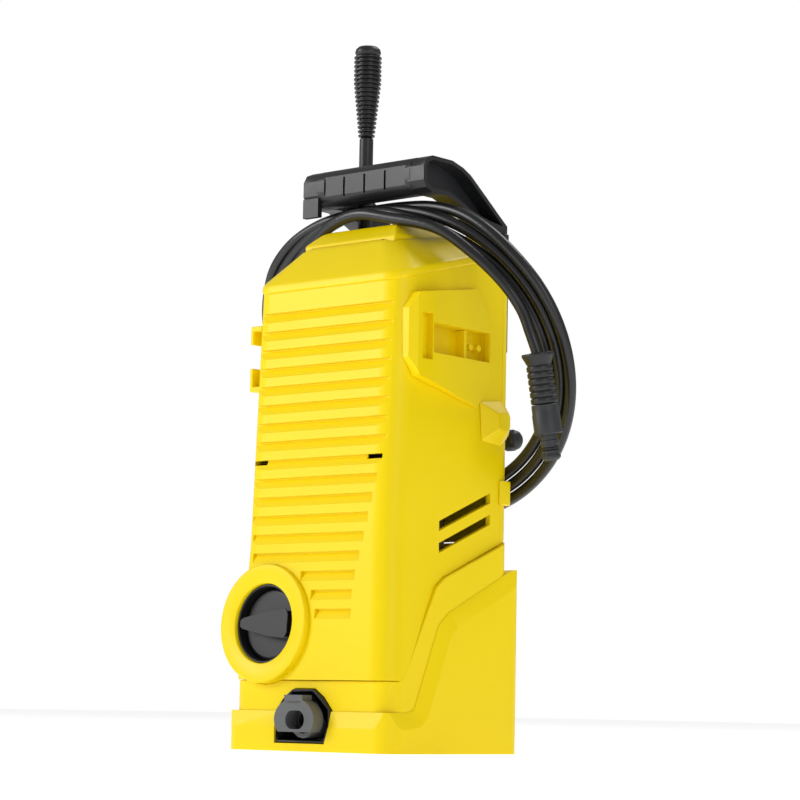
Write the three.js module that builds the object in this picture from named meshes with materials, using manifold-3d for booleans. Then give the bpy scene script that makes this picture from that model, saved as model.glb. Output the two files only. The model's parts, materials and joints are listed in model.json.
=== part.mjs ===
// A compact electric pressure washer: an upright yellow housing on a yellow plinth, a black bow handle,
// a rotary switch, a snap water inlet, a side holster, a lance parked in the roof, and a coiled hose.
// Millimetres, +Z up, the front looks along -Y, +X is the right side, and z = 0 is the floor.
import * as THREE from "three";
import { mergeVertices } from "three/addons/utils/BufferGeometryUtils.js";
import Module from "manifold-3d";

const wasm = await Module();
wasm.setup();

// ---------------------------------------------------------------- driving dimensions
const GAP = 0.3; // what touching pieces keep between them
const WALL = 4.2; // moulded wall thickness
const SPLIT_Y = 55; // where the front housing meets the rear housing
const MIRRORED = [-1, 1];

// Outer shape of the upper housing: height, half width, front face and rear face.
const HOUSING = {
  levels: [
    { z: 51.5, half: 80, front: -72.5, rear: 67.3 },
    { z: 150, half: 75, front: -67, rear: 67.3 },
    { z: 392, half: 75, front: -56.9, rear: 67.3 },
  ],
  frontRadius: 19,
  rearRadius: 13,
};
const NECK = { half: 79.4, front: -69.6, rear: 63, top: 51.1 };
const PLINTH = { half: 83.5, front: -73.4, rear: 73, radius: 16, shelf: 17, slope: 3.8, band: 12 };
const BASE_PLATE = 3;

// Side outlines as (y, z): the lower edge of the upper housing, and the top edge of the plinth.
const HOUSING_EDGE = [
  [-57, 51.5],
  [-51, 56],
  [-29.5, 100],
  [-19, 120],
  [-10, 127],
  [57, 155.5],
];
const PLINTH_EDGE = [
  [-52, 17],
  [-39, 19],
  [-31.5, 25.5],
  [-7, 85],
  [0, 91.5],
  [62, 121.5],
];

// The roof's eave rises towards the back.
const EAVE = { z: 358, rise: 0.255, groove: 2.2 };
const ROOF = [
  { z: 355.8, half: 75.9, front: -60.8, rear: 68.8, rise: 0.255 },
  { z: 360.6, half: 75.8, front: -60.6, rear: 68.6, rise: 0.255 },
  { z: 363, half: 74.2, front: -59, rear: 67.4, rise: 0.25 },
  { z: 379.6, half: 50, front: -41, rear: 60, rise: 0.17 },
  { z: 381.6, half: 44, front: -36, rear: 57, rise: 0.15 },
];
const CAP = { foot: 46, plateau: 37, z: 389.4, footFront: -35, front: -23, rear: 56, base: 372 };

const LOUVRES = { count: 17, top: 325.3, pitch: 13.9, height: 7.4, depth: 3.2, slits: 8 };
const SWITCH = { x: -43.2, y: -70, z: 92.5, lean: 86, outer: 44, bore: 29.5, back: -13, knob: 26.6 };
const INLET = { x: -2, half: 27, bottom: 6, top: 45, depth: 30 };
const COUPLER = { x: 0, z: 23, across: 21, up: 15.5, tab: 40.6, front: -84, back: -73.9, rim: 2 };
const LANCE = { x: -39, y: 23, tube: 5.35, head: 470, top: 543, socket: 8.6, collar: 11, foot: 252 };
const MOTOR = { x: 12, y: 2 };
const PISTONS = { radius: 15, rod: 4.5, top: 121, bottom: 80, count: 3 };
const OUTLET = { y: 88, z: 236, radius: 7, left: 28, right: 62, neck: 42 };

// The hose and its coil: one loop leaning forward over the roof.
const HOSE = 4.25; // radius
const COIL = { y: 36, z: 295, halfWidth: 142.8, halfHeight: 118.6, lean: 23.3, across: 4.6, deep: 10.5 };
const LEAD = [
  [27.4, 88, 236],
  [8, 88, 236],
  [-12, 88, 236],
  [-30, 87.4, 234.5],
  [-46, 85.2, 232],
  [-60, 81.4, 231],
  [-72, 77, 232.6],
  [-88, 71.5, 236.5],
  [-104, 67.5, 240.5],
  [-113.1, 65.2, 242.8],
];
const TAIL = [
  [71.4, -18.5, 383.4],
  [99.1, -10, 364],
  [120.4, 0, 341.6],
  [132.1, 8.3, 321.4],
  [139, 11, 303.5],
  [143.7, 14, 287.7],
];
const INLET_PIPE = [
  [0, -42.6, 22.5],
  [0, -34, 22.5],
  [3, -18, 27],
  [9, -4, 36],
  [12, 2, 46],
  [12, 2, 54.6],
];
const CONNECTOR = { top: [143.7, 14, 287.7], tip: [147.8, 26, 214] };

// ---------------------------------------------------------------- materials
function finish(color, roughness, metalness = 0) {
  return new THREE.MeshStandardMaterial({ color, roughness, metalness });
}
const yellow = finish(0xf0bd08, 0.45);
const black = finish(0x1b1c1e, 0.5);
const darkGrey = finish(0x3a3c3e, 0.6);
const grey = finish(0x9a9c9b, 0.45);
const rubber = finish(0x141414, 0.8);
const steel = finish(0xb9bcbe, 0.3, 1);
const aluminium = finish(0xa9acae, 0.4, 1);
const brass = finish(0xb6954a, 0.35, 1);
const copper = finish(0xb0663a, 0.4, 1);

// ---------------------------------------------------------------- solids
function solid(geometry) {
  const plain = geometry.clone();
  plain.deleteAttribute("normal");
  plain.deleteAttribute("uv");
  const merged = mergeVertices(plain, 1e-4);
  const triVerts = new Uint32Array(merged.index.array);
  return new wasm.Manifold(
    new wasm.Mesh({ numProp: 3, vertProperties: merged.attributes.position.array, triVerts }),
  );
}

function geometryOf(made) {
  const { vertProperties, triVerts } = made.getMesh();
  const geometry = new THREE.BufferGeometry();
  geometry.setAttribute("position", new THREE.BufferAttribute(vertProperties, 3));
  geometry.setIndex(new THREE.BufferAttribute(triVerts, 1));
  return geometry;
}

function join(...pieces) {
  return geometryOf(pieces.map(solid).reduce((sum, piece) => sum.add(piece)));
}

function cut(body, ...tools) {
  return geometryOf(tools.map(solid).reduce((rest, tool) => rest.subtract(tool), solid(body)));
}

function common(body, tool) {
  return geometryOf(solid(body).intersect(solid(tool)));
}

// ---------------------------------------------------------------- shapes
function block(x0, x1, y0, y1, z0, z1) {
  const box = new THREE.BoxGeometry(x1 - x0, y1 - y0, z1 - z0);
  return box.translate((x0 + x1) / 2, (y0 + y1) / 2, (z0 + z1) / 2);
}

function outline(points) {
  return new THREE.Shape(points.map(([a, b]) => new THREE.Vector2(a, b)));
}

// A rectangle with its own corner radius at the front (low b) and at the rear.
function rounded(a0, a1, b0, b1, low, high = low) {
  const shape = new THREE.Shape();
  shape.absarc(a0 + low, b0 + low, low, Math.PI, Math.PI * 1.5);
  shape.absarc(a1 - low, b0 + low, low, Math.PI * 1.5, Math.PI * 2);
  shape.absarc(a1 - high, b1 - high, high, 0, Math.PI * 0.5);
  shape.absarc(a0 + high, b1 - high, high, Math.PI * 0.5, Math.PI);
  shape.closePath();
  return shape;
}

function extruded(shape, depth, options = {}) {
  return new THREE.ExtrudeGeometry(shape, { depth, curveSegments: 5, bevelEnabled: false, ...options });
}

// An outline in (x, y) standing on z0.
function upright(shape, z0, z1, options) {
  return extruded(shape, z1 - z0, options).translate(0, 0, z0);
}

const ALONG_X = new THREE.Matrix4().makeBasis(
  new THREE.Vector3(0, 1, 0),
  new THREE.Vector3(0, 0, 1),
  new THREE.Vector3(1, 0, 0),
);
const ALONG_Y = new THREE.Matrix4().makeBasis(
  new THREE.Vector3(1, 0, 0),
  new THREE.Vector3(0, 0, 1),
  new THREE.Vector3(0, -1, 0),
);

// An outline in (y, z) carried from x0 to x1.
function sideways(shape, x0, x1, options) {
  return extruded(shape, x1 - x0, options).applyMatrix4(ALONG_X).translate(x0, 0, 0);
}

// An outline in (x, z) carried from y0 to y1.
function backwards(shape, y0, y1, options) {
  return extruded(shape, y1 - y0, options).applyMatrix4(ALONG_Y).translate(0, y1, 0);
}

// A profile of (radius, height) turned round the Z axis.
function turned(profile, sides = 16) {
  const points = profile.map(([radius, height]) => new THREE.Vector2(radius, height));
  return new THREE.LatheGeometry(points, sides).rotateX(Math.PI / 2);
}

function drum(radius, z0, z1, sides = 16, x = 0, y = 0) {
  const cylinder = new THREE.CylinderGeometry(radius, radius, z1 - z0, sides);
  return cylinder.rotateX(Math.PI / 2).translate(x, y, (z0 + z1) / 2);
}

function pipe(bore, radius, z0, z1, sides = 16, x = 0, y = 0) {
  const profile = [
    [bore, z0],
    [radius, z0],
    [radius, z1],
    [bore, z1],
    [bore, z0],
  ];
  return turned(profile, sides).translate(x, y, 0);
}

// Moves a piece that stands along Z so that its foot is at one point and it points at another.
function aimed(geometry, from, to) {
  const start = new THREE.Vector3(...from);
  const direction = new THREE.Vector3(...to).sub(start).normalize();
  const turn = new THREE.Quaternion().setFromUnitVectors(new THREE.Vector3(0, 0, 1), direction);
  return geometry.applyQuaternion(turn).translate(...from);
}

function hoseAlong(points, radius, steps) {
  const path = new THREE.CatmullRomCurve3(points.map((point) => new THREE.Vector3(...point)));
  const section = new THREE.Shape().absarc(0, 0, radius, 0, Math.PI * 2);
  return new THREE.ExtrudeGeometry(section, { steps, curveSegments: 8, extrudePath: path });
}

// A mirror image across the YZ plane, with its triangles turned round so that they still face out.
function mirroredX(geometry) {
  const flipped = geometry.clone().scale(-1, 1, 1);
  const corners = flipped.index?.array ?? [...Array(flipped.attributes.position.count).keys()];
  const order = [];
  for (let i = 0; i < corners.length; i += 3) order.push(corners[i], corners[i + 2], corners[i + 1]);
  return flipped.setIndex(order);
}

// ---------------------------------------------------------------- housing
// A rounded outline carried up through levels, each with its own half width, front, rear, height and
// the rise of that height towards the back. The inset shrinks it all round.
function lofted(levels, frontRadius, rearRadius, inset = 0) {
  const [first] = levels;
  const radii = [frontRadius - inset, rearRadius - inset];
  const base = rounded(-first.half, first.half, first.front, first.rear, ...radii);
  const made = extruded(base, levels.length - 1, { steps: levels.length - 1 });
  const place = made.attributes.position;
  const middle = (first.front + first.rear) / 2;
  const reach = (first.rear - first.front) / 2;
  for (let i = 0; i < place.count; i++) {
    const level = levels[Math.round(place.getZ(i))];
    const across = (level.half - inset) / first.half;
    const along = ((level.rear - level.front) / 2 - inset) / reach;
    const y = (level.front + level.rear) / 2 + (place.getY(i) - middle) * along;
    place.setXYZ(i, place.getX(i) * across, y, level.z + (level.rise ?? 0) * y);
  }
  return made;
}

function housingBlock(inset) {
  return lofted(HOUSING.levels, HOUSING.frontRadius, HOUSING.rearRadius, inset);
}

function underHousingEdge(drop = 0) {
  const edge = HOUSING_EDGE.map(([y, z]) => [y, z - drop]);
  return outline([[-100, 0], [-100, edge[0][1]], ...edge, [100, 173.8 - drop], [100, 0]]);
}

function aboveEave(drop) {
  const height = (y) => EAVE.z - drop + EAVE.rise * y;
  return outline([[-100, height(-100)], [100, height(100)], [100, 500], [-100, 500]]);
}

function housingShell() {
  return cut(
    housingBlock(0),
    housingBlock(WALL),
    block(-72, 72, -64, 63, 40, 60),
    block(-66, 66, -48, 61, 380, 400),
    sideways(underHousingEdge(), -100, 100),
    sideways(aboveEave(EAVE.groove), -100, 100),
  );
}

function switchTool(radius, low, high) {
  const tool = drum(radius, low, high, 32).rotateX(THREE.MathUtils.degToRad(SWITCH.lean));
  return tool.translate(SWITCH.x, SWITCH.y, SWITCH.z);
}

function louvreEnds(row) {
  const left = row < 8 ? -71 : -70 + Math.max(0, row - 8) * 1.6;
  const right = row < 8 ? 67 : Math.max(42, 67 - 3.3 * (row - 7));
  const z = LOUVRES.top - LOUVRES.pitch * row;
  const reach = Math.sqrt(Math.max(0, 50 ** 2 - (z - SWITCH.z) ** 2));
  return [reach > 0 ? SWITCH.x + Math.max(reach, 30) : left, right];
}

function frontAt(z) {
  const [low, mid, high] = HOUSING.levels;
  const [a, b] = z < mid.z ? [low, mid] : [mid, high];
  return a.front + ((b.front - a.front) * (z - a.z)) / (b.z - a.z);
}

// A groove whose roof is square and whose floor slopes out, so that rain runs off.
function louvre(row) {
  const z = LOUVRES.top - LOUVRES.pitch * row;
  const [left, right] = louvreEnds(row);
  const face = frontAt(z);
  const section = outline([
    [face - 6, z],
    [face + LOUVRES.depth, z],
    [face + LOUVRES.depth, z - 1.4],
    [face - 0.3, z - LOUVRES.height],
    [face - 6, z - LOUVRES.height],
  ]);
  return sideways(section, left, right);
}

function slit(x0, x1) {
  const z = LOUVRES.top - LOUVRES.pitch * LOUVRES.slits;
  return block(x0, x1, -75, -50, z - 3.4, z);
}

function slopingSlot(z) {
  const section = outline([
    [-13, z],
    [43.5, z + 24.2],
    [43.5, z + 16.6],
    [-13, z - 7.4],
  ]);
  return sideways(section, 60, 90);
}

function mainHousing() {
  const front = common(housingShell(), block(-100, 100, -100, SPLIT_Y, 0, 500));
  const rows = Array.from({ length: LOUVRES.count }, (_, row) => louvre(row));
  const channel = block(60, 90, -31, 39, 289, 311);
  return cut(
    front,
    ...rows,
    slit(-69, -54),
    slit(48, 64),
    slopingSlot(168),
    slopingSlot(152),
    channel,
    switchTool(SWITCH.outer + GAP, SWITCH.back - 1.5, 30),
  );
}

function rearHousing() {
  const rear = common(housingShell(), block(-100, 100, SPLIT_Y + GAP, 100, 0, 500));
  const outlet = drum(8 + GAP, -20, 20, 20).rotateX(Math.PI / 2).translate(OUTLET.neck, 60, OUTLET.z);
  return cut(rear, outlet);
}

function neck() {
  const { half, front, rear, top } = NECK;
  const skin = upright(rounded(-half, half, front, rear, 16, 12), BASE_PLATE + GAP, 170);
  const hollow = upright(rounded(-half + WALL, half - WALL, front + WALL, rear - WALL, 13, 9), -10, 180);
  const edge = HOUSING_EDGE.map(([y, z]) => [y, z - 0.4]);
  const over = outline([[-100, top], ...edge, [100, 173.4], [100, 400], [-100, 400]]);
  return cut(
    skin,
    hollow,
    sideways(over, -100, 100),
    archPrism(GAP, -90, -30),
    switchTool(SWITCH.outer + GAP, SWITCH.back - 1.5, 30),
  );
}

function archPrism(grow, y0, y1) {
  const { x, half, bottom, top } = INLET;
  const width = half + grow;
  const low = bottom - grow;
  const high = top + grow;
  const arch = outline([
    [x - width, low],
    [x + width - 4, low],
    [x + width, 18],
    [x + width, 30],
    [x + width - 8, high - 6],
    [x + 10, high],
    [x - 10, high],
    [x - width + 8, high - 6],
    [x - width, 30],
  ]);
  return backwards(arch, y0, y1);
}

function plinth() {
  const { half, front, rear, radius, shelf, slope, band } = PLINTH;
  const profile = outline([
    [front - 20, -20],
    [rear + 20, -20],
    [rear + 20, 135],
    ...PLINTH_EDGE.toReversed(),
    [front - 20, shelf],
  ]);
  const bevel = { bevelEnabled: true, bevelThickness: slope, bevelSize: band, bevelSegments: 1 };
  const flared = sideways(profile, -half + slope, half - slope, bevel);
  const envelope = upright(rounded(-half, half, front, rear, radius, 12), 0, 136);
  const shelfSlope = outline([
    [front - 5, shelf],
    [front, shelf],
    [front + 3.5, 32.5],
    [front + 3.5, 40],
    [front - 5, 40],
  ]);
  const room = upright(
    rounded(-NECK.half - GAP, NECK.half + GAP, NECK.front - GAP, NECK.rear + GAP, 16.3, 12.3),
    -10,
    200,
  );
  return cut(common(flared, envelope), sideways(shelfSlope, -100, 100), room, archPrism(GAP, -90, -30));
}

function basePlate() {
  const { half, front, rear } = NECK;
  return upright(rounded(-half, half, front, rear, 16, 12), 0, BASE_PLATE);
}

// ---------------------------------------------------------------- roof and cap
function roofBlock(inset) {
  const under = inset > 0 ? [{ ...ROOF[0], z: 330 }, ...ROOF.slice(1)] : ROOF;
  return lofted(under, 19, 13, inset).translate(0, 0, -inset);
}

function topCapBlock(grow) {
  const { foot, plateau, z, footFront, front, rear, base } = CAP;
  const across = outline([
    [-foot - grow, base - grow],
    [foot + grow, base - grow],
    [foot + grow, 380 + grow],
    [plateau + grow, z + grow],
    [-plateau - grow, z + grow],
    [-foot - grow, 380 + grow],
  ]);
  const along = outline([
    [footFront - grow, base - grow - 1],
    [rear + grow, base - grow - 1],
    [rear + grow, z + 1 + grow],
    [front - grow, z + 1 + grow],
    [front - grow, z + grow],
    [footFront - grow, 378 + grow],
  ]);
  return common(backwards(across, -60, 80), sideways(along, -100, 100));
}

function lanceHole(radius) {
  return drum(radius, 200, 420, 24, LANCE.x, LANCE.y);
}

function roofCover() {
  return cut(roofBlock(0), roofBlock(WALL), topCapBlock(GAP), lanceHole(LANCE.collar + GAP));
}

function topCap() {
  const { foot, rear, base } = CAP;
  const hollow = block(-foot + 9, foot - 9, -18, rear - WALL, base - 5, 385.6);
  return cut(topCapBlock(0), hollow, lanceHole(LANCE.collar + GAP));
}

// ---------------------------------------------------------------- handle
const GRIP = { half: 62, inner: 46, front: -22, rear: 6, low: 412, high: 439.5, radius: 11 };
const ARM = [
  [-21.8, 420],
  [-21.8, 431],
  [-18.5, 436.8],
  [-12, 439.5],
  [10, 439],
  [22, 435.5],
  [31, 431],
  [48, 418],
  [66, 404],
  [74, 398],
  [74, 392],
  [66, 392],
  [52, 396],
  [42, 398.5],
  [30, 401.8],
  [20, 406.5],
  [6, 411.6],
  [-12, 412],
  [-18.5, 414.8],
];
// The hollow in the arm's outer side, a rim's width inside its outline.
const ARM_HOLLOW = [
  [-18.2, 421],
  [-18.2, 430],
  [-16, 434.4],
  [-11, 436.4],
  [9.4, 436],
  [20.4, 432.8],
  [29, 428.4],
  [46, 415.4],
  [64, 401.4],
  [69, 397.4],
  [54, 399.4],
  [43, 401.8],
  [31.4, 405],
  [21.2, 409.8],
  [7, 415],
  [-11, 415.4],
  [-16, 417.4],
];

function arm(side) {
  const { half, inner } = GRIP;
  const web = sideways(outline(ARM), inner, half);
  const made = cut(web, sideways(outline(ARM_HOLLOW), inner + 3.4, half + 5));
  return side > 0 ? made : mirroredX(made);
}

function carryHandle() {
  const { half, inner, front, rear, low, high, radius } = GRIP;
  const section = rounded(front, rear, low, high, radius);
  const grip = sideways(section, -inner - 2, inner + 2, { curveSegments: 6 });
  const cheek = block(-half, -inner, front, front + 4.4, 403.4, 418);
  const panel = sideways(rounded(front - 3, front + 1, low + 4, high - 5, 1.2), -40, 43);
  const grooves = [-20, 1, 22].map((x) => block(x - 1, x + 1, front - 2, front + 2.6, low + 5, high - 8));
  return cut(join(grip, arm(-1), arm(1), cheek), panel, ...grooves);
}

function backFrame() {
  const strips = MIRRORED.map((side) => block(side * 57 - 7, side * 57 + 7, 69.2, 74, 301, 391.6));
  const bridge = block(-52, 52, 69.2, 73, 374, 386);
  return join(...strips, bridge);
}

// ---------------------------------------------------------------- switch
function onSwitch(geometry) {
  return geometry.rotateX(THREE.MathUtils.degToRad(SWITCH.lean)).translate(SWITCH.x, SWITCH.y, SWITCH.z);
}

function switchBezel() {
  const { outer, bore, back } = SWITCH;
  const profile = [
    [bore, back],
    [bore + 2.5, back],
    [bore + 2.5, -2],
    [outer - 2.5, 1.6],
    [outer - 2.5, back],
    [outer, back],
    [outer, 3],
    [outer - 1.2, 4.5],
    [bore + 0.8, 3.5],
    [bore, 2.8],
    [bore, back],
  ];
  return onSwitch(turned(profile, 32));
}

function switchCup() {
  const rim = SWITCH.bore - GAP;
  const profile = [
    [4.6, -14],
    [rim, -14],
    [rim, 0.8],
    [rim - 1.6, 0.8],
    [rim - 1.6, -11.6],
    [4.6, -11.6],
    [4.6, -14],
  ];
  return onSwitch(turned(profile, 16));
}

function switchKnob() {
  const { knob } = SWITCH;
  const disc = turned([[0, -11], [knob, -11], [knob, -6.5], [knob - 1.5, -5], [0, -5]], 24);
  const wedge = outline([
    [-25, -2.5],
    [-22, -4.5],
    [4, -10],
    [22, -11.5],
    [25, -7],
    [25, 7],
    [22, 11.5],
    [4, 10],
    [-22, 4.5],
    [-25, 2.5],
  ]);
  const bevel = { bevelEnabled: true, bevelThickness: 1.6, bevelSize: -1.8, bevelSegments: 1 };
  const pointer = extruded(wedge, 8, bevel).translate(0, 0, -6.6);
  const spindle = drum(4, -23.6, -10, 16);
  return onSwitch(join(disc, pointer, spindle));
}

function switchBox() {
  return onSwitch(block(-17, 17, -17, 17, -44, -24));
}

// ---------------------------------------------------------------- inlet
function inletLiner() {
  const room = archPrism(-2, -90, -46);
  const socket = drum(13 + GAP, -40, 40, 24).rotateX(Math.PI / 2).translate(COUPLER.x, -44, 22.5);
  return cut(archPrism(0, -72.4, -44), room, socket);
}

function inletBody() {
  const profile = [
    [8, -30],
    [12, -30],
    [12, -22],
    [13, -22],
    [13, 0],
    [9.6, 0],
    [9.6, -8],
    [8, -8],
    [8, -30],
  ];
  return turned(profile, 16).rotateX(Math.PI / 2).translate(COUPLER.x, -73.2, 22.5);
}

function inletLatch() {
  const { x, z, across, up, tab, front, back, rim } = COUPLER;
  const shell = new THREE.Shape();
  shell.absellipse(x, z, across, up, -0.62, Math.PI + 0.62, false);
  shell.closePath();
  const plate = backwards(shell, front + rim, back, { curveSegments: 14 });
  const neck = block(x - 9, x + 9, front + rim, back, z + 8, tab);
  const crescent = new THREE.Shape();
  crescent.absellipse(x, z, across, up, -0.62, 1.15, false);
  crescent.absellipse(x, z, across - 5.5, up - 3.5, 1.15, -0.62, true);
  crescent.closePath();
  const rimPiece = backwards(crescent, front, front + rim + 1, { curveSegments: 8 });
  const lip = block(x - 9, x + 9, front, front + rim + 1, tab - 4.5, tab);
  const hole = backwards(rounded(x - 9.5, x + 9.5, 16, 29.4, 6.5), front - 5, back + 5);
  return cut(join(plate, neck, rimPiece, lip), hole);
}

function inletFilter() {
  const profile = [
    [0, -20],
    [7, -20],
    [7, -4],
    [9, -4],
    [9, -1.5],
    [5.6, -1.5],
    [5.6, -18],
    [0, -18],
  ];
  return turned(profile, 16).rotateX(Math.PI / 2).translate(COUPLER.x, -73.2, 22.5);
}

// ---------------------------------------------------------------- motor and pump
function onMotor(geometry) {
  return geometry.translate(MOTOR.x, MOTOR.y, 0);
}

function pumpBlock() {
  const body = drum(31, 76, 103, 24);
  const bores = eachPiston((x, y) => drum(PISTONS.rod + GAP, 70, 110, 16, x, y));
  return onMotor(cut(body, ...bores));
}

function eachPiston(make) {
  return Array.from({ length: PISTONS.count }, (_, i) => {
    const angle = (i / PISTONS.count) * Math.PI * 2 + Math.PI / 2;
    return make(PISTONS.radius * Math.cos(angle), PISTONS.radius * Math.sin(angle));
  });
}

function piston(x, y) {
  const rod = drum(PISTONS.rod, PISTONS.bottom, PISTONS.top - 3, 16, x, y);
  const collar = drum(7, PISTONS.top - 3, PISTONS.top, 16, x, y);
  return onMotor(join(rod, collar));
}

function pistonSpring(x, y) {
  return onMotor(pipe(PISTONS.rod + 0.6, 6.6, 103 + GAP, PISTONS.top - 3 - GAP, 16, x, y));
}

function cylinderHead() {
  const head = drum(31, 55, 76 - GAP, 24);
  const chambers = eachPiston((x, y) => drum(4, 62, 80, 14, x, y));
  return onMotor(cut(head, ...chambers));
}

function driveFlange() {
  const profile = [
    [33.6, 103 + GAP],
    [38, 103 + GAP],
    [40, 144],
    [40, 150],
    [13.4, 150],
    [13.4, 144],
    [35.6, 142],
    [33.6, 103 + GAP],
  ];
  return onMotor(turned(profile, 20));
}

function wobblePlate() {
  const disc = drum(24, -4, 4, 24).rotateY(THREE.MathUtils.degToRad(5)).translate(0, 0, 128.5);
  const hub = drum(11, 124.2, 139.5, 20);
  return onMotor(cut(join(disc, hub), drum(5 + GAP, 110, 160, 18)));
}

function rotorShaft() {
  return onMotor(drum(5, 126, 322, 18));
}

function rotorCore() {
  return onMotor(pipe(5 + GAP, 22, 182, 252, 20));
}

function commutator() {
  return onMotor(pipe(5 + GAP, 12, 262, 284, 20));
}

function coolingFan() {
  const hub = drum(9, 158, 172, 18);
  const disc = drum(34, 158, 160.5, 28);
  const blades = Array.from({ length: 9 }, (_, i) =>
    block(8, 33, -0.9, 0.9, 160, 171).rotateZ((i / 9) * Math.PI * 2),
  );
  return onMotor(cut(join(disc, hub, ...blades), drum(5 + GAP, 150, 180, 18)));
}

function motorStator() {
  return onMotor(pipe(23.5, 37, 180, 254, 20));
}

function motorCan() {
  const profile = [
    [38 + GAP, 150 + GAP],
    [41, 150 + GAP],
    [41, 292],
    [38 + GAP, 292],
    [38 + GAP, 150 + GAP],
  ];
  return onMotor(turned(profile, 20));
}

function motorEndCap() {
  const profile = [
    [11.4, 298],
    [11.4, 292 + GAP],
    [41, 292 + GAP],
    [41, 299],
    [16, 313],
    [11.4, 313],
    [11.4, 298],
  ];
  return onMotor(turned(profile, 20));
}

// ---------------------------------------------------------------- side fittings
// The bulge on the right side: proud at the slot, and sloping back until it meets the wall.
function sideHolster() {
  const face = outline([
    [-53, 284],
    [-46, 271],
    [24, 254],
    [40, 273],
    [39, 322],
    [22, 342],
    [-46, 332],
    [-53, 320],
  ]);
  const body = sideways(face, 70, 84);
  const slope = outline([[77.4, -54], [83.2, -48], [83.2, -30], [76, 42], [100, 42], [100, -54]]);
  const slot = block(76.6, 90, -43, -32, 283.6, 317.4);
  const channel = block(60, 90, -31, 39, 289, 311);
  return cut(body, upright(slope, 200, 400), slot, channel, growHousing());
}

function holsterTray() {
  const outside = block(63.4, 70.2, -34, 42, 286, 314);
  const inside = block(66, 90, -31, 39, 289, 311);
  const pegs = [21, 30].map((y) => drum(2.4, 0, 8, 10).rotateY(Math.PI / 2).translate(65.4, y, 299));
  const rib = block(65, 74.4, 12, 15, 289.3, 310.7);
  return join(cut(outside, inside), ...pegs, rib);
}

function sideBoss() {
  const face = outline([[41, 239], [50, 238], [53, 241], [53, 249], [50, 251.5], [40, 250.5]]);
  const bevel = { bevelEnabled: true, bevelThickness: 11, bevelSize: 11, bevelSegments: 1 };
  return cut(sideways(face, 60, 74.5, bevel), growHousing());
}

// The upper housing's outside with a running gap all round it, for cutting what sits on it.
function growHousing() {
  return housingBlock(-GAP);
}

// A small hook on the left side, whose lip turns up or down.
function sideClip(z0, z1, lipUp) {
  const foot = lipUp ? block(-83, -70, -54, -42, z0, z0 + 4) : block(-83, -70, -54, -42, z1 - 4, z1);
  return cut(join(foot, block(-83, -80, -54, -42, z0, z1)), growHousing());
}

function hoseRest(side) {
  const lug = upright(rounded(61, 78, 52, 66, 5), 184, 202);
  return cut(side > 0 ? lug : mirroredX(lug), growHousing());
}

// ---------------------------------------------------------------- lance
function lanceSocket() {
  const { x, y, tube, socket, collar, foot } = LANCE;
  const bore = tube + 0.4;
  const profile = [
    [0, foot - 7],
    [socket, foot - 7],
    [socket, 368],
    [collar, 370],
    [collar, 394],
    [collar - 1.5, 395.5],
    [bore, 395.5],
    [bore, foot - 4],
    [0, foot - 4],
  ];
  return turned(profile, 16).translate(x, y, 0);
}

function lanceTube() {
  return pipe(3.2, LANCE.tube, LANCE.foot, LANCE.head - GAP, 20, LANCE.x, LANCE.y);
}

function lanceHead() {
  const profile = [
    [3, LANCE.head],
    [6.2, LANCE.head],
    [8.2, LANCE.head + 17],
    [10.6, LANCE.head + 37],
    [10.6, LANCE.head + 59],
    [9, LANCE.top - 6],
    [5.5, LANCE.top - 1],
    [3, LANCE.top],
    [3, LANCE.head],
  ];
  return turned(profile, 16).translate(LANCE.x, LANCE.y, 0);
}

// ---------------------------------------------------------------- outlet, hose and connector
function outletElbow() {
  const { y, z, radius, left, right, neck: across } = OUTLET;
  const run = drum(radius, left, right - 9.6, 20).rotateY(Math.PI / 2).translate(0, y, z);
  const stub = drum(8, 57, y, 20).rotateX(-Math.PI / 2).translate(across, 0, z);
  return join(run, stub);
}

function outletCap() {
  const { y, z, radius, right } = OUTLET;
  const profile = [
    [0, -9.3],
    [radius + 1, -9.3],
    [radius + 1, -3],
    [radius - 2, 1.5],
    [0, 3],
  ];
  return turned(profile, 20).rotateY(Math.PI / 2).translate(right, y, z);
}

function bendProtector() {
  const { y, z, left } = OUTLET;
  const profile = [
    [4.7, 0],
    [7, 0],
    [7, 4],
    [5.6, 39],
    [4.7, 39],
    [4.7, 0],
  ];
  return turned(profile, 18).rotateY(-Math.PI / 2).translate(left - GAP, y, z);
}

// The loops as one ring with an oval section, leaning forward from its foot behind the machine.
function hoseCoil() {
  const { y, z, halfWidth, halfHeight, lean, across, deep } = COIL;
  const ring = [];
  for (let i = 0; i <= 10; i++) {
    const angle = (i / 10) * Math.PI * 2;
    ring.push(new THREE.Vector2(halfHeight + across * Math.cos(angle), deep * Math.sin(angle)));
  }
  const made = new THREE.LatheGeometry(ring, 40);
  made.scale(halfWidth / halfHeight, 1, 1);
  return made.rotateX(THREE.MathUtils.degToRad(lean)).translate(0, y, z);
}

function onConnector(geometry) {
  return aimed(geometry, CONNECTOR.top, CONNECTOR.tip);
}

function connectorGrip() {
  const profile = [[4.8, 0], [12, 0], [9.6, 7], [9.6, 36], [4.8, 36], [4.8, 0]];
  return onConnector(turned(profile, 14));
}

function connectorSleeve() {
  const profile = [[6.6, 36.3], [10, 36.3], [10, 58], [6.6, 58], [6.6, 36.3]];
  return onConnector(turned(profile, 14));
}

function connectorNipple() {
  const profile = [
    [2.5, 38],
    [6.2, 38],
    [6.2, 67],
    [4.6, 67],
    [4.6, 70],
    [6, 70],
    [6, 75],
    [5, 77],
    [2.5, 77],
    [2.5, 38],
  ];
  return onConnector(turned(profile, 12));
}

function connectorRing() {
  const profile = [[4.8, 67.4], [6.3, 67.4], [6.3, 69.6], [4.8, 69.6], [4.8, 67.4]];
  return onConnector(turned(profile, 12));
}

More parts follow.
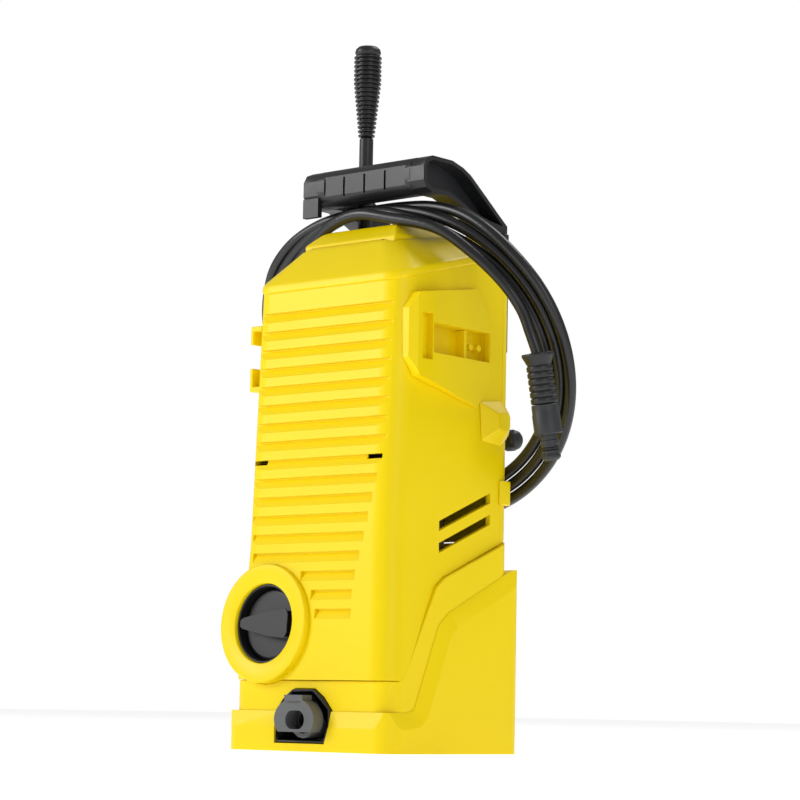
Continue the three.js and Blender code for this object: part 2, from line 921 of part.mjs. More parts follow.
// ---------------------------------------------------------------- small pieces
function cableGland() {
  const profile = [[3.6, -2], [8, -2], [8, 4], [6.5, 12], [3.6, 12], [3.6, -2]];
  return turned(profile, 18).rotateX(-Math.PI / 2).translate(-45, 75.3, 48);
}

function coverScrew(x, z) {
  return drum(3.4, 0, 2.4, 12).rotateX(-Math.PI / 2).translate(x, 67.3 + GAP, z);
}

function waterPipe(points, radius) {
  return hoseAlong(points, radius, 10);
}

// ---------------------------------------------------------------- the machine
const machine = new THREE.Group();

function add(name, geometry, material) {
  const mesh = new THREE.Mesh(geometry, material);
  mesh.name = name;
  machine.add(mesh);
}

add("main_housing", mainHousing(), yellow);
add("rear_housing", rearHousing(), yellow);
add("lower_housing", neck(), yellow);
add("base_plinth", plinth(), yellow);
add("base_plate", basePlate(), black);
add("roof_cover", roofCover(), yellow);
add("top_cap", topCap(), yellow);
add("carry_handle", carryHandle(), black);
add("handle_back_frame", backFrame(), black);
add("switch_bezel", switchBezel(), yellow);
add("switch_cup", switchCup(), black);
add("switch_knob", switchKnob(), black);
add("switch_box", switchBox(), darkGrey);
add("inlet_liner", inletLiner(), black);
add("inlet_body", inletBody(), grey);
add("inlet_latch", inletLatch(), grey);
add("inlet_filter", inletFilter(), darkGrey);
add("motor_can", motorCan(), steel);
add("motor_stator", motorStator(), copper);
add("motor_end_cap", motorEndCap(), darkGrey);
add("upper_bearing", onMotor(pipe(5 + GAP, 11, 300, 308, 20)), steel);
add("lower_bearing", onMotor(pipe(5 + GAP, 13, 144.5, 149.5, 20)), steel);
add("drive_flange", driveFlange(), aluminium);
add("rotor_shaft", rotorShaft(), steel);
add("rotor_core", rotorCore(), steel);
add("commutator", commutator(), copper);
add("cooling_fan", coolingFan(), black);
add("wobble_plate", wobblePlate(), steel);
add("pump_block", pumpBlock(), aluminium);
add("cylinder_head", cylinderHead(), brass);
eachPiston(piston).forEach((geometry, i) => add(`piston_${i + 1}`, geometry, steel));
eachPiston(pistonSpring).forEach((geometry, i) => add(`piston_spring_${i + 1}`, geometry, steel));
add("side_holster", sideHolster(), yellow);
add("holster_tray", holsterTray(), yellow);
add("side_boss", sideBoss(), yellow);
add("upper_clip", sideClip(304, 318, false), yellow);
add("lower_clip", sideClip(268, 286, true), yellow);
add("hose_rest_left", hoseRest(-1), yellow);
add("hose_rest_right", hoseRest(1), yellow);
add("lance_socket", lanceSocket(), black);
add("lance_tube", lanceTube(), black);
add("lance_head", lanceHead(), black);
add("outlet_elbow", outletElbow(), black);
add("outlet_cap", outletCap(), black);
add("cable_gland", cableGland(), rubber);
add("cover_screw_left", coverScrew(-60, 270), steel);
add("cover_screw_right", coverScrew(38, 172), steel);
add("inlet_pipe", waterPipe(INLET_PIPE, 4.5), rubber);
add("bend_protector", bendProtector(), rubber);
add("hose_lead", hoseAlong(LEAD, HOSE, 16), rubber);
add("hose_coil", hoseCoil(), rubber);
add("hose_tail", hoseAlong(TAIL, HOSE, 10), rubber);
add("connector_grip", connectorGrip(), black);
add("connector_sleeve", connectorSleeve(), darkGrey);
add("connector_nipple", connectorNipple(), darkGrey);
add("connector_ring", connectorRing(), rubber);

export default machine;
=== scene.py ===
"""A compact pressure washer's looks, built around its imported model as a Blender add-on.

The model's shells are copied, cleaned and given moulded edges. Turned and ribbed pieces, the hose and
its connector are made new. Every finish is a node material that reads Object coordinates.
"""

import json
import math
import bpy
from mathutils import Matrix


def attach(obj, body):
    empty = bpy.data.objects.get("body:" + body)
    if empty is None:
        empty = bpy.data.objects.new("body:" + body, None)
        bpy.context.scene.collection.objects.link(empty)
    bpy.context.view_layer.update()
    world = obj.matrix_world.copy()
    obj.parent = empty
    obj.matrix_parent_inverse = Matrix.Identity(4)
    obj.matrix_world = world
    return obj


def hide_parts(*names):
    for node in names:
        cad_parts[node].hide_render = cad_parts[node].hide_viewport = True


bl_info = {
    "name": "Pressure Washer",
    "version": (1, 0, 0),
    "blender": (4, 5, 0),
    "location": "3D View > Sidebar > Washer",
    "description": "Builds the washer's shells, switch, inlet, handle, lance and hose around its frame",
    "category": "Object",
}

import bmesh
import bpy
from bpy.props import FloatProperty, IntProperty, PointerProperty, StringProperty
from mathutils import Matrix, Vector

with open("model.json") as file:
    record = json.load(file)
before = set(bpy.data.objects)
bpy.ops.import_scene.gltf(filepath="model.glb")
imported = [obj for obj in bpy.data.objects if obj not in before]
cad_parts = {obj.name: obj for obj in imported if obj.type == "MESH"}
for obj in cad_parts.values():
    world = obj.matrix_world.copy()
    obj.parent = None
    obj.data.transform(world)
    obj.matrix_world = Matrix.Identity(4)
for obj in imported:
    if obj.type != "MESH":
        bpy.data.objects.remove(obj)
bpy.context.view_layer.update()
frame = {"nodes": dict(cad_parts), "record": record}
NODES = frame["nodes"]
BODY_OF = {
    node: body
    for body, members in frame["record"]["behaviour"]["bodies"].items()
    for node in members
}
SLOT_OF = {entry["node"]: entry["material_slot"] for entry in frame["record"]["subparts"]}
MM = 0.001
FULL_TURN = 2 * math.pi

# Where the turned pieces stand, in millimetres. The switch's face leans back, so its axis does too.
SWITCH_CENTRE = Vector((-43.2, -70, 92.5))
LANCE_FOOT = Vector((-39, 23, 0))
LANCE_HEAD = 470
LANCE_HEAD_TOP = 536
OUTLET_CAP_PLACE = Vector((62, 88, 236))
GLAND_PLACE = Vector((-45, 75.3, 48))
SWITCH_LEAN = math.radians(4)
SWITCH_AXIS = Vector((0, -math.cos(SWITCH_LEAN), math.sin(SWITCH_LEAN)))
BACK = Vector((0, 1, 0))
RIGHT = Vector((1, 0, 0))
LEFT = Vector((-1, 0, 0))
UP = Vector((0, 0, 1))

# The hose, in millimetres: the coil's centre, half sizes and lean, and the routes of its free ends.
# Its loops lie in lanes, and a lane's number grows outwards.
COIL_CENTRE = Vector((0, 36, 295))
COIL_HALF_WIDTH = 142.8
COIL_HALF_HEIGHT = 118.6
COIL_LEAN = math.radians(23.3)
COIL_START = math.radians(222)
COIL_END = math.radians(78)
COIL_LANE = 9
COIL_FIRST_LANE = 1.57
COIL_WHOLE_TURNS = 3
COIL_STEPS = 104
# Over the roof the row of lanes turns to lie front to back, within this angle of the top.
ROW_TURN = math.radians(98)
ROW_TURN_REACH = math.radians(58)
# The lead comes up inside the loops and behind them, then eases out into the first lane.
LEAD_LANE = -2.9
LEAD_BEHIND = 9.8
# The lead's points as far as the coil; the coil's own points carry it on.
LEAD = [
    (27.4, 88, 236),
    (8, 88, 236),
    (-12, 88, 236),
    (-30, 87.4, 234.5),
    (-46, 85.2, 232),
    (-60, 81.4, 231),
    (-72, 77, 232.6),
]
TAIL = [
    (71.4, -18.5, 383.4),
    (99.1, -10, 364),
    (120.4, 0, 341.6),
    (132.1, 8.3, 321.4),
    (139, 11, 303.5),
    (143.7, 14, 287.7),
]
CONNECTOR_TIP = Vector((147.8, 26, 214))


# ---------------------------------------------------------------- settings
class WasherSizes(bpy.types.PropertyGroup):
    """Sizes that a user would change."""

    edge: FloatProperty(
        name="Moulded edge",
        description="Rounding of the shells' edges",
        default=0.0007,
        min=0.0001,
        unit="LENGTH",
    )
    hose: FloatProperty(
        name="Hose",
        description="Outer diameter of the high-pressure hose",
        default=0.0085,
        min=0.004,
        unit="LENGTH",
    )
    lance_ribs: IntProperty(
        name="Lance ribs",
        description="Rings moulded round the lance's head",
        default=19,
        min=3,
    )
    grip_ribs: IntProperty(
        name="Connector ribs",
        description="Rings moulded round the hose connector's grip",
        default=6,
        min=1,
    )


class WasherColours(bpy.types.PropertyGroup):
    """The finishes' colours, as sRGB hex values."""

    shell: StringProperty(name="Shell", description="Moulded ABS shell", default="#F6DA00")
    trim: StringProperty(name="Trim", description="Black polypropylene trim", default="#17181A")
    hose: StringProperty(name="Hose", description="PVC hose", default="#121214")
    coupling: StringProperty(name="Coupling", description="Grey acetal coupling", default="#5E6062")
    floor: StringProperty(name="Floor", description="Studio floor", default="#FAFAFA")


def sizes():
    return bpy.context.scene.washer_sizes


def colours():
    return bpy.context.scene.washer_colours


# ---------------------------------------------------------------- materials
def linear(hex_colour):
    """An sRGB hex value as a linear colour with full alpha."""
    parts = [int(hex_colour[i : i + 2], 16) / 255 for i in (1, 3, 5)]
    return [p / 12.92 if p <= 0.04045 else ((p + 0.055) / 1.055) ** 2.4 for p in parts] + [1.0]


def add_node(tree, kind, inputs=None, **settings):
    """Adds a node, sets its settings, and fills its sockets from values or links them from sockets."""
    node = tree.nodes.new(kind)
    for name, value in settings.items():
        setattr(node, name, value)
    for name, value in (inputs or {}).items():
        if isinstance(value, bpy.types.NodeSocket):
            tree.links.new(value, node.inputs[name])
        else:
            node.inputs[name].default_value = value
    return node


def new_material(name):
    material = bpy.data.materials.new(name)
    material.use_nodes = True
    material.node_tree.nodes.clear()
    return material


def moulded(name, base, shade, roughness, grain_mm, depth, ior=1.5, streak_mm=60, sheen=0.5):
    """A moulded plastic: slow colour drift, a fine tool grain, and roughness that wanders a little."""
    material = new_material(name)
    tree = material.node_tree
    place = add_node(tree, "ShaderNodeTexCoord").outputs["Object"]
    drift = add_node(
        tree,
        "ShaderNodeTexNoise",
        {"Vector": place, "Scale": 1000 / streak_mm, "Detail": 3.0, "Roughness": 0.5},
    )
    tint = add_node(
        tree,
        "ShaderNodeMix",
        {"Factor": drift.outputs["Fac"], 6: linear(base), 7: linear(shade)},
        data_type="RGBA",
    )
    grain = add_node(
        tree,
        "ShaderNodeTexNoise",
        {"Vector": place, "Scale": 1000 / grain_mm, "Detail": 2.0, "Roughness": 0.6},
    )
    wander = add_node(
        tree,
        "ShaderNodeMapRange",
        {"Value": drift.outputs["Fac"], "To Min": roughness - 0.05, "To Max": roughness + 0.06},
    )
    bump = add_node(
        tree,
        "ShaderNodeBump",
        {"Height": grain.outputs["Fac"], "Strength": 0.35, "Distance": depth * MM},
    )
    shader = add_node(
        tree,
        "ShaderNodeBsdfPrincipled",
        {
            "Base Color": tint.outputs[2],
            "Roughness": wander.outputs["Result"],
            "IOR": ior,
            "Specular IOR Level": sheen,
            "Normal": bump.outputs["Normal"],
        },
    )
    add_node(tree, "ShaderNodeOutputMaterial", {"Surface": shader.outputs["BSDF"]})
    return material


def turned_metal(name, base, shade, roughness, ring_mm, depth):
    """A turned or ground metal: fine tool rings across the piece and slow changes of polish."""
    material = new_material(name)
    tree = material.node_tree
    place = add_node(tree, "ShaderNodeTexCoord").outputs["Object"]
    rings = add_node(
        tree,
        "ShaderNodeTexWave",
        {"Vector": place, "Scale": 1000 / (ring_mm * FULL_TURN), "Distortion": 1.5, "Detail": 2.0},
        bands_direction="Z",
    )
    polish = add_node(
        tree, "ShaderNodeTexNoise", {"Vector": place, "Scale": 110.0, "Detail": 4.0}
    )
    tint = add_node(
        tree,
        "ShaderNodeMix",
        {"Factor": polish.outputs["Fac"], 6: linear(base), 7: linear(shade)},
        data_type="RGBA",
    )
    wander = add_node(
        tree,
        "ShaderNodeMapRange",
        {"Value": polish.outputs["Fac"], "To Min": roughness - 0.07, "To Max": roughness + 0.12},
    )
    bump = add_node(
        tree,
        "ShaderNodeBump",
        {"Height": rings.outputs["Fac"], "Strength": 0.3, "Distance": depth * MM},
    )
    shader = add_node(
        tree,
        "ShaderNodeBsdfPrincipled",
        {
            "Base Color": tint.outputs[2],
            "Metallic": 1.0,
            "Roughness": wander.outputs["Result"],
            "Normal": bump.outputs["Normal"],
        },
    )
    add_node(tree, "ShaderNodeOutputMaterial", {"Surface": shader.outputs["BSDF"]})
    return material


def make_finishes():
    """One finish for each slot of the record."""
    shell, trim = colours().shell, colours().trim
    return {
        # Injection-moulded ABS: saturated, satin, with a fine spark-eroded grain.
        "yellow_shell": moulded(
            "abs_yellow_moulded", shell, "#F1D300", 0.36, 0.9, 0.05, 1.53, sheen=0.22
        ),
        # Moulded polypropylene: near black with a soft broad sheen.
        "black_shell": moulded("polypropylene_black_moulded", trim, "#1D1E21", 0.42, 1.0, 0.06),
        # Acetal coupling parts: mid grey and a little waxy.
        "grey_plastic": moulded("acetal_grey_moulded", colours().coupling, "#55575A", 0.4, 0.9, 0.05, 1.48),
        "dark_grey_plastic": moulded("nylon_dark_moulded", "#2B2D2F", "#232527", 0.5, 0.8, 0.06, 1.53),
        # Extruded PVC hose: black, smooth, a little glossier than the mouldings.
        "hose_rubber": moulded("pvc_hose_extruded", colours().hose, "#17171A", 0.34, 2.4, 0.04, 1.52, 30),
        # Moulded EPDM: soft, dull black.
        "soft_rubber": moulded("epdm_rubber_moulded", "#141415", "#1B1B1C", 0.66, 0.7, 0.08, 1.52),
        "steel": turned_metal("steel_turned", "#B7B9BB", "#A4A6A9", 0.3, 0.8, 0.01),
        "aluminium": turned_metal("aluminium_die_cast", "#AEB0B1", "#9C9EA0", 0.46, 1.6, 0.02),
        "brass": turned_metal("brass_turned", "#B99A55", "#A88945", 0.28, 0.7, 0.01),
        # Enamelled copper wire, wound: the rings stand in for the turns of wire.
        "copper": turned_metal("copper_wire_wound", "#A8623A", "#8A4A28", 0.34, 1.2, 0.2),
    }


FINISHES = {}


# ---------------------------------------------------------------- making pieces
def object_from(name, bm):
    mesh = bpy.data.meshes.new(name)
    bm.to_mesh(mesh)
    bm.free()
    piece = bpy.data.objects.new(name, mesh)
    bpy.context.scene.collection.objects.link(piece)
    return piece


def smooth(piece, angle=35):
    for face in piece.data.polygons:
        face.use_smooth = True
    piece.data.set_sharp_from_angle(angle=math.radians(angle))


def settle(piece, body, slot_name, replaced=(), finish=None):
    """Gives a finished piece the finish of its slot, attaches it to its body and hides the CAD nodes that it
    stands for.
    """
    piece.data.materials.clear()
    piece.data.materials.append(finish or FINISHES[slot_name])
    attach(piece, body)
    if replaced:
        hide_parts(*replaced)
    return piece


def frame_along(origin, axis):
    """A matrix in metres whose Z runs along axis from origin, which is in millimetres."""
    z = axis.normalized()
    x = UP.cross(z) if abs(UP.dot(z)) < 0.99 else RIGHT.copy()
    x.normalize()
    y = z.cross(x)
    turn = Matrix((x, y, z)).transposed().to_4x4()
    return Matrix.Scale(MM, 4) @ Matrix.Translation(origin) @ turn


def turned_bmesh(profile, steps):
    """A profile of (radius, height) spun round Z into a closed bmesh, in millimetres."""
    bm = bmesh.new()
    ring = [bm.verts.new((radius, 0, height)) for radius, height in profile]
    edges = [bm.edges.new(pair) for pair in zip(ring, ring[1:])]
    if profile[0][0] > 0:
        edges.append(bm.edges.new((ring[-1], ring[0])))
    bmesh.ops.spin(
        bm,
        geom=ring + edges,
        cent=(0, 0, 0),
        axis=(0, 0, 1),
        angle=FULL_TURN,
        steps=steps,
        use_merge=True,
    )
    bmesh.ops.remove_doubles(bm, verts=bm.verts, dist=1e-4)
    bmesh.ops.recalc_face_normals(bm, faces=bm.faces)
    return bm


def turned_piece(name, profile, origin, axis, steps=64, angle=35):
    """A turned profile set on an axis, as a smooth piece in metres."""
    bm = turned_bmesh(profile, steps)
    bmesh.ops.transform(bm, matrix=frame_along(Vector(origin), axis), verts=bm.verts)
    piece = object_from(name, bm)
    smooth(piece, angle)
    return piece


def ribbed(start, end, radius_at, count, depth, fill):
    """A profile of rounded rings from one height to another, out from the core that they stand on."""
    pitch = (end - start) / count
    points = []
    for i in range(count):
        base = start + i * pitch
        for part, rise in ((0, 0), (0.1, 0.75), (0.22, 1), (fill - 0.12, 1), (fill, 0.75), (fill + 0.1, 0)):
            height = base + part * pitch
            points.append((radius_at(height) - depth * (1 - rise), height))
    return points


def refined(name, edge=None, angle=24, segments=2, clamped=False):
    """A CAD node's copy with its flat faces joined and its edges rounded as a mould leaves them."""
    source = NODES[name]
    bm = bmesh.new()
    bm.from_mesh(source.data)
    bmesh.ops.remove_doubles(bm, verts=bm.verts, dist=2e-5)
    bmesh.ops.dissolve_limit(
        bm,
        angle_limit=math.radians(1.2),
        verts=bm.verts,
        edges=bm.edges,
    )
    piece = object_from(name + "_moulding", bm)
    smooth(piece, 30)
    bevel = piece.modifiers.new("mould_edges", "BEVEL")
    bevel.width = edge or sizes().edge
    bevel.segments = segments
    bevel.limit_method = "ANGLE"
    bevel.angle_limit = math.radians(angle)
    bevel.use_clamp_overlap = clamped
    shading = piece.modifiers.new("even_shading", "WEIGHTED_NORMAL")
    shading.keep_sharp = True
    return settle(piece, BODY_OF[name], SLOT_OF[name], [name])


# ---------------------------------------------------------------- hose
def ease(value):
    """A smooth step from 0 to 1."""
    value = min(1, max(0, value))
    return value * value * (3 - 2 * value)


def coil_point(angle, lane, behind=0.0):
    """A point of the coil: lanes lie side by side outwards, and turn to lie front to back over the roof."""
    out = Vector((math.cos(angle) / COIL_HALF_WIDTH, math.sin(angle) / COIL_HALF_HEIGHT))
    out.normalize()
    up_in_plane = Vector((0, -math.sin(COIL_LEAN), math.cos(COIL_LEAN)))
    backward = Vector((0, math.cos(COIL_LEAN), math.sin(COIL_LEAN)))
    radial = RIGHT * out.x + up_in_plane * out.y
    centre = COIL_CENTRE + RIGHT * (COIL_HALF_WIDTH * math.cos(angle))
    centre += up_in_plane * (COIL_HALF_HEIGHT * math.sin(angle))
    from_top = abs(math.remainder(angle - math.pi / 2, FULL_TURN))
    turn = ROW_TURN * (1 - ease(from_top / ROW_TURN_REACH))
    row = radial * math.cos(turn) + backward * math.sin(turn)
    return centre + row * (lane * COIL_LANE) + backward * behind


def hose_route():
    """The hose's centreline: the lead, the coil behind and over the machine, and the tail."""
    turns = COIL_WHOLE_TURNS + (COIL_START - COIL_END) / FULL_TURN
    coil = []
    for i in range(COIL_STEPS + 1):
        done = turns * i / COIL_STEPS
        entered = ease(done / 0.16)
        lane = (COIL_FIRST_LANE - done) * entered + LEAD_LANE * (1 - entered)
        behind = LEAD_BEHIND * (1 - ease((done - 0.14) / 0.12))
        coil.append(coil_point(COIL_START - FULL_TURN * done, lane, behind))
    return [Vector(p) for p in LEAD] + coil + [Vector(p) for p in TAIL]


def smooth_route(points, pieces=6):
    """A Catmull-Rom curve through the points."""
    ends = [points[0] * 2 - points[1]] + points + [points[-1] * 2 - points[-2]]
    route = []
    for i in range(1, len(ends) - 2):
        p0, p1, p2, p3 = ends[i - 1 : i + 3]
        for j in range(pieces):
            t = j / pieces
            route.append(
                0.5
                * (
                    2 * p1
                    + (p2 - p0) * t
                    + (2 * p0 - 5 * p1 + 4 * p2 - p3) * t * t
                    + (3 * p1 - p0 - 3 * p2 + p3) * t * t * t
                )
            )
    route.append(points[-1])
    return route


def tube_bmesh(route, radius, sides=14):
    """A round section carried along a route by extrusion, closed at both ends."""
    bm = bmesh.new()
    made = bmesh.ops.create_circle(bm, cap_ends=True, cap_tris=False, segments=sides, radius=radius)
    direction = (route[1] - route[0]).normalized()
    turn = UP.rotation_difference(direction)
    bmesh.ops.rotate(bm, cent=(0, 0, 0), matrix=turn.to_matrix(), verts=made["verts"])
    bmesh.ops.translate(bm, vec=route[0], verts=made["verts"])
    bm.faces.ensure_lookup_table()
    end = bm.faces[0]
    for i in range(1, len(route)):
        following = (route[min(i + 1, len(route) - 1)] - route[i - 1]).normalized()
        made = bmesh.ops.extrude_face_region(bm, geom=[end], use_keep_orig=(i == 1))
        end = next(item for item in made["geom"] if isinstance(item, bmesh.types.BMFace))
        bmesh.ops.translate(bm, vec=route[i] - route[i - 1], verts=end.verts)
        bend = direction.rotation_difference(following)
        bmesh.ops.rotate(bm, cent=route[i], matrix=bend.to_matrix(), verts=end.verts)
        direction = following
    bmesh.ops.recalc_face_normals(bm, faces=bm.faces)
    return bm


class WASHER_OT_hose(bpy.types.Operator):
    """Lay the high-pressure hose in its coil, with its bend protector and its connector"""

    bl_idname = "washer.hose"
    bl_label = "Hose"

    def execute(self, context):
        route = smooth_route(hose_route())
        bm = tube_bmesh(route, sizes().hose / MM / 2)
        bmesh.ops.scale(bm, vec=(MM, MM, MM), verts=bm.verts)
        hose = object_from("high_pressure_hose", bm)
        smooth(hose, 60)
        settle(hose, "casing", "hose_rubber", ["hose_lead", "hose_coil", "hose_tail"])
        pieces = connector_pieces() + [bend_protector()]
        return {"FINISHED"}


def bend_protector():
    ribs = ribbed(5, 37, lambda height: 7.1 - height * 0.042, 8, 1.1, 0.55)
    profile = [(4.5, 0), (6.6, 0), (7.2, 0.8), (7.2, 4)] + ribs + [(5.2, 38.4), (4.9, 39), (4.5, 39)]
    piece = turned_piece("bend_protector_ribbed", profile, LEAD[0], LEFT, 40)
    return settle(piece, "casing", "soft_rubber", ["bend_protector"])


def connector_pieces():
    """The hose's connector: ribbed grip, sleeve, nipple and its seal, along one axis."""
    top = Vector(TAIL[-1])
    axis = CONNECTOR_TIP - top
    ribs = ribbed(8, 36, lambda height: 9.7, sizes().grip_ribs, 1.0, 0.84)
    grip = [(4.6, -1.6), (5.4, -1.6), (9.6, -0.8), (11.6, -1), (12, -0.4), (12, 1), (11.2, 2.4), (9.4, 6.4)]
    grip += ribs + [(9, 36), (4.6, 36)]
    sleeve = [(6.4, 36.3), (9.4, 36.3), (9.8, 36.8), (9.8, 43), (10.2, 43.6), (10.2, 57.2)]
    sleeve += [(9.6, 58), (6.4, 58)]
    nipple = [(2.5, 38), (6.3, 38), (6.3, 62), (6.9, 62.5), (6.9, 65), (6.3, 65.5), (6.3, 67.2), (4.7, 67.4)]
    nipple += [(4.7, 69.8), (6.8, 70), (6.8, 71.6), (6, 72), (6, 73), (6.8, 73.4), (6.8, 75)]
    nipple += [(5.4, 76.6), (4.6, 77), (2.5, 77)]
    seal = [(4.7, 67.5), (5.8, 67.4), (6.5, 68), (6.5, 69), (5.8, 69.6), (4.7, 69.5)]
    parts = [
        ("connector_grip_ribbed", grip, "black_shell", "connector_grip"),
        ("connector_sleeve_turned", sleeve, "dark_grey_plastic", "connector_sleeve"),
        ("connector_nipple_turned", nipple, "dark_grey_plastic", "connector_nipple"),
        ("connector_seal", seal, "soft_rubber", "connector_ring"),
    ]
    return [
        settle(turned_piece(name, profile, top, axis, 48), "casing", slot_name, [node])
        for name, profile, slot_name, node in parts
    ]


# ---------------------------------------------------------------- shells
SHELLS = [
    "main_housing",
    "rear_housing",
    "lower_housing",
    "base_plinth",
    "roof_cover",
    "top_cap",
    "side_holster",
    "holster_tray",
    "side_boss",
    "upper_clip",
    "lower_clip",
    "hose_rest_left",
    "hose_rest_right",
    "base_plate",
]


# The rounder edges, in metres.
SOFT_EDGES = {"base_plinth": 0.0012, "top_cap": 0.0012, "roof_cover": 0.0011, "side_boss": 0.0009}
# Pieces whose edges lie closer together than the rounding would need.
CLOSE_EDGED = {
    "main_housing",
    "rear_housing",
    "lower_housing",
    "base_plinth",
    "side_holster",
    "holster_tray",
}


class WASHER_OT_shells(bpy.types.Operator):
    """Round the moulded edges of the yellow shells and the pieces on them"""

    bl_idname = "washer.shells"
    bl_label = "Shells"

    def execute(self, context):
        for name in SHELLS:
            refined(name, SOFT_EDGES.get(name), clamped=name in CLOSE_EDGED)
        return {"FINISHED"}


class WASHER_OT_handle(bpy.types.Operator):
    """Round the bow handle and the frame behind it"""

    bl_idname = "washer.handle"
    bl_label = "Handle"

    def execute(self, context):
        refined("carry_handle", 0.0008, 30, 3, clamped=True)
        refined("handle_back_frame")
        return {"FINISHED"}


# ---------------------------------------------------------------- switch
class WASHER_OT_switch(bpy.types.Operator):
    """Turn the switch's wide ring and dark cup, and round the knob with its pointer"""

    bl_idname = "washer.switch"
    bl_label = "Switch"

    def execute(self, context):
        ring = [(29.5, -13), (32, -13), (32, 0.8), (41.5, 1.8), (41.5, -13), (44, -13), (44, 3), (43.7, 4)]
        ring += [(43, 4.5), (42.2, 4.6), (30.4, 3.6), (29.8, 3.3), (29.5, 2.8)]
        piece = turned_piece("switch_ring_dished", ring, SWITCH_CENTRE, SWITCH_AXIS, 96, 40)
        settle(piece, "casing", "yellow_shell", ["switch_bezel"])
        cup = [(4.6, -14), (29.2, -14), (29.2, 0.6), (28.8, 1), (28, 1), (27.6, 0.6)]
        cup += [(27.6, -11.6), (4.6, -11.6)]
        piece = turned_piece("switch_cup_turned", cup, SWITCH_CENTRE, SWITCH_AXIS, 96)
        settle(piece, "casing", "black_shell", ["switch_cup"])
        refined("switch_knob", 0.0009, 30, 3)
        return {"FINISHED"}


# ---------------------------------------------------------------- inlet
class WASHER_OT_inlet(bpy.types.Operator):
    """Round the inlet's recess and its latch plate"""

    bl_idname = "washer.inlet"
    bl_label = "Inlet"

    def execute(self, context):
        refined("inlet_liner", 0.0008, clamped=True)
        refined("inlet_latch", 0.0008, 30, 3, clamped=True)
        return {"FINISHED"}


# ---------------------------------------------------------------- lance
class WASHER_OT_lance(bpy.types.Operator):
    """Turn the lance: its ribbed head, its tube and the socket that it stands in"""

    bl_idname = "washer.lance"
    bl_label = "Lance"

    def execute(self, context):
        def radius_at(height):
            return 6.2 + 4.5 * min(1, (height - LANCE_HEAD) / 44)

        ribs = ribbed(LANCE_HEAD + 1, LANCE_HEAD_TOP, radius_at, sizes().lance_ribs, 2.2, 0.6)
        dome = [(9.6, 536.5), (10.1, 538), (9.4, 540.6), (7.4, 542.4), (4.4, 543), (3, 543)]
        head = [(3, LANCE_HEAD), (4.9, LANCE_HEAD)] + ribs + dome
        piece = turned_piece("lance_head_ribbed", head, LANCE_FOOT, UP, 64)
        settle(piece, "lance", "black_shell", ["lance_head"])
        tube = [(3.2, 252), (5, 252), (5.35, 253), (5.35, 469.7), (3.2, 469.7)]
        piece = turned_piece("lance_tube_drawn", tube, LANCE_FOOT, UP, 48)
        settle(piece, "lance", "black_shell", ["lance_tube"])
        socket = [(0, 245), (8.2, 245), (8.6, 246), (8.6, 368), (11, 370), (11, 393.6)]
        socket += [(10.6, 395), (9.5, 395.5), (6.6, 395.5), (5.9, 394.8), (5.75, 394), (5.75, 248), (0, 248)]
        piece = turned_piece("lance_socket_turned", socket, LANCE_FOOT, UP, 48)
        settle(piece, "casing", "black_shell", ["lance_socket"])
        return {"FINISHED"}


# ---------------------------------------------------------------- outlet
class WASHER_OT_outlet(bpy.types.Operator):
    """Turn the outlet's ribbed end cap and the cable gland, and round the elbow behind it"""

    bl_idname = "washer.outlet"
    bl_label = "Outlet"

    def execute(self, context):
        ribs = ribbed(-9, -2, lambda height: 8.2, 3, 0.9, 0.55)
        cap = [(0, -9.3), (7.2, -9.3)] + ribs + [(7.6, -1.6), (7, 0.4), (5.4, 2.1), (3, 2.9), (0, 3)]
        piece = turned_piece("outlet_cap_ribbed", cap, OUTLET_CAP_PLACE, RIGHT, 48)
        settle(piece, "casing", "black_shell", ["outlet_cap"])
        refined("outlet_elbow", 0.0009, 40, 3)
        gland = [(3.6, -2), (7.8, -2), (8, 3.6), (7.6, 4.2), (7.2, 4.4), (6.8, 7), (6.2, 11.4)]
        gland += [(5.6, 12), (3.6, 12)]
        piece = turned_piece("cable_gland_turned", gland, GLAND_PLACE, BACK, 40)
        settle(piece, "casing", "soft_rubber", ["cable_gland"])
        return {"FINISHED"}


# ---------------------------------------------------------------- stage
class WASHER_OT_stage(bpy.types.Operator):
    """Lay the pale floor, hang the studio lights and set the camera"""

    bl_idname = "washer.stage"
    bl_label = "Stage"

    def execute(self, context):
        scene = context.scene
        scene.view_settings.view_transform = "Standard"
        add_floor()
        add_light("key_softbox", (-1.7, -2.1, 1.3), 1.3, 41)
        add_light("side_softbox", (2.6, -0.9, 1.2), 1.2, 12)
        add_light("rim_softbox", (0.4, 1.2, 2.4), 1.0, 20)
        world = bpy.data.worlds.new("studio_air")
        world.use_nodes = True
        tree = world.node_tree
        path = add_node(tree, "ShaderNodeLightPath")
        strength = add_node(
            tree,
            "ShaderNodeMapRange",
            {"Value": path.outputs["Is Camera Ray"], "To Min": 0.35, "To Max": 1.0},
        )
        background = tree.nodes["Background"]
        background.inputs["Color"].default_value = linear("#FFFFFF")
        tree.links.new(strength.outputs["Result"], background.inputs["Strength"])
        scene.world = world
        add_camera(scene)
        return {"FINISHED"}


def add_floor():
    bm = bmesh.new()
    bmesh.ops.create_grid(bm, x_segments=1, y_segments=1, size=6)
    floor = object_from("studio_floor", bm)
    paper = moulded("floor_paper_matt", colours().floor, "#F8F8F8", 0.85, 3, 0.05, sheen=0.1)
    shader = paper.node_tree.nodes["Principled BSDF"]
    # Lit from behind, as a light table is, so that the far edge doesn't show.
    shader.inputs["Emission Color"].default_value = linear("#FFFFFF")
    shader.inputs["Emission Strength"].default_value = 0.58
    floor.data.materials.append(paper)


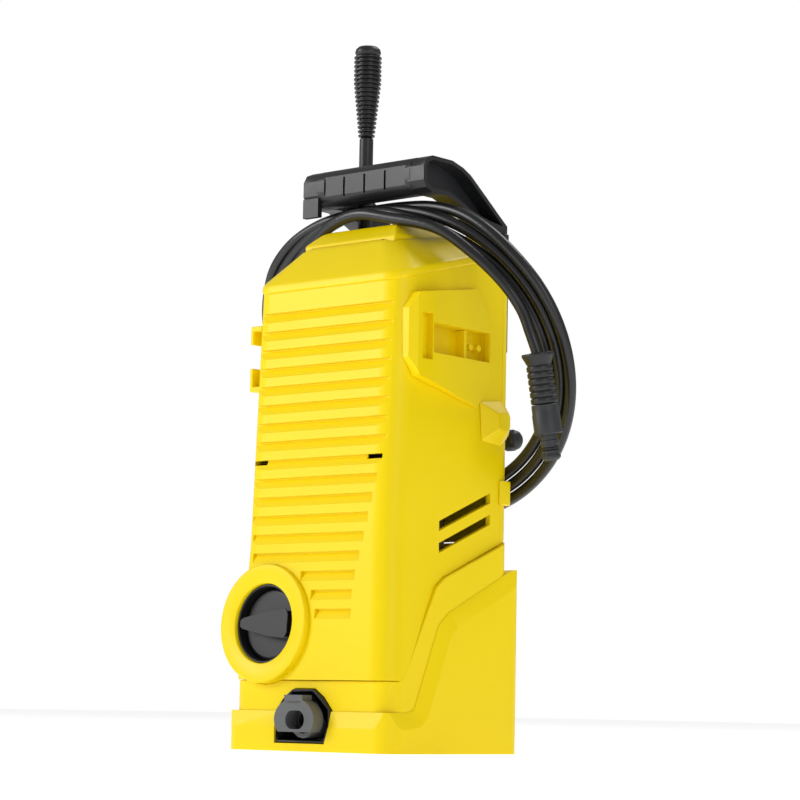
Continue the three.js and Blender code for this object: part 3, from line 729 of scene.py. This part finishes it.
def add_light(name, place, size, power):
    lamp = bpy.data.lights.new(name, "AREA")
    lamp.size = size
    lamp.energy = power
    light = bpy.data.objects.new(name, lamp)
    bpy.context.scene.collection.objects.link(light)
    aim = Vector((0, 0, 0.25)) - Vector(place)
    light.location = place
    light.rotation_euler = aim.to_track_quat("-Z", "Y").to_euler()


def add_camera(scene):
    """A long lens near the floor, 43 degrees round to the right, looking a little up."""
    azimuth = math.radians(43)
    distance, height = 2.086, 0.034
    lens = bpy.data.cameras.new("washer_camera")
    lens.sensor_width = 36
    lens.lens = 36 * 2793 / 800
    camera = bpy.data.objects.new("washer_camera", lens)
    scene.collection.objects.link(camera)
    camera.matrix_world = (
        Matrix.Rotation(azimuth, 4, "Z")
        @ Matrix.Translation((0, -distance, height))
        @ Matrix.Rotation(math.radians(-0.451), 4, "Z")
        @ Matrix.Rotation(math.radians(90 + 6.25), 4, "X")
        @ Matrix.Rotation(math.radians(1.03), 4, "Z")
    )
    scene.camera = camera


# ---------------------------------------------------------------- carried-over nodes
class WASHER_OT_inner_works(bpy.types.Operator):
    """Give the motor, the pump and every other carried-over node its finish"""

    bl_idname = "washer.inner_works"
    bl_label = "Inner works"

    def execute(self, context):
        for name, node in NODES.items():
            node.data.materials.clear()
            node.data.materials.append(FINISHES[SLOT_OF[name]])
        return {"FINISHED"}


class WASHER_PT_panel(bpy.types.Panel):
    """The washer's sizes, colours and building steps"""

    bl_idname = "WASHER_PT_panel"
    bl_label = "Washer"
    bl_space_type = "VIEW_3D"
    bl_region_type = "UI"
    bl_category = "Washer"

    def draw(self, context):
        layout = self.layout
        for group in (context.scene.washer_sizes, context.scene.washer_colours):
            for name in group.__annotations__:
                layout.prop(group, name)
        for operator in OPERATORS:
            layout.operator(operator.bl_idname)


OPERATORS = [
    WASHER_OT_stage,
    WASHER_OT_inner_works,
    WASHER_OT_hose,
    WASHER_OT_shells,
    WASHER_OT_handle,
    WASHER_OT_switch,
    WASHER_OT_inlet,
    WASHER_OT_lance,
    WASHER_OT_outlet,
]
CLASSES = [WasherSizes, WasherColours] + OPERATORS + [WASHER_PT_panel]


def register():
    for cls in CLASSES:
        bpy.utils.register_class(cls)
    bpy.types.Scene.washer_sizes = PointerProperty(type=WasherSizes)
    bpy.types.Scene.washer_colours = PointerProperty(type=WasherColours)


def unregister():
    del bpy.types.Scene.washer_colours
    del bpy.types.Scene.washer_sizes
    for cls in reversed(CLASSES):
        bpy.utils.unregister_class(cls)


def main():
    register()
    FINISHES.update(make_finishes())
    for operator in OPERATORS:
        group, name = operator.bl_idname.split(".")
        getattr(getattr(bpy.ops, group), name)()


if __name__ == "__main__":
    main()
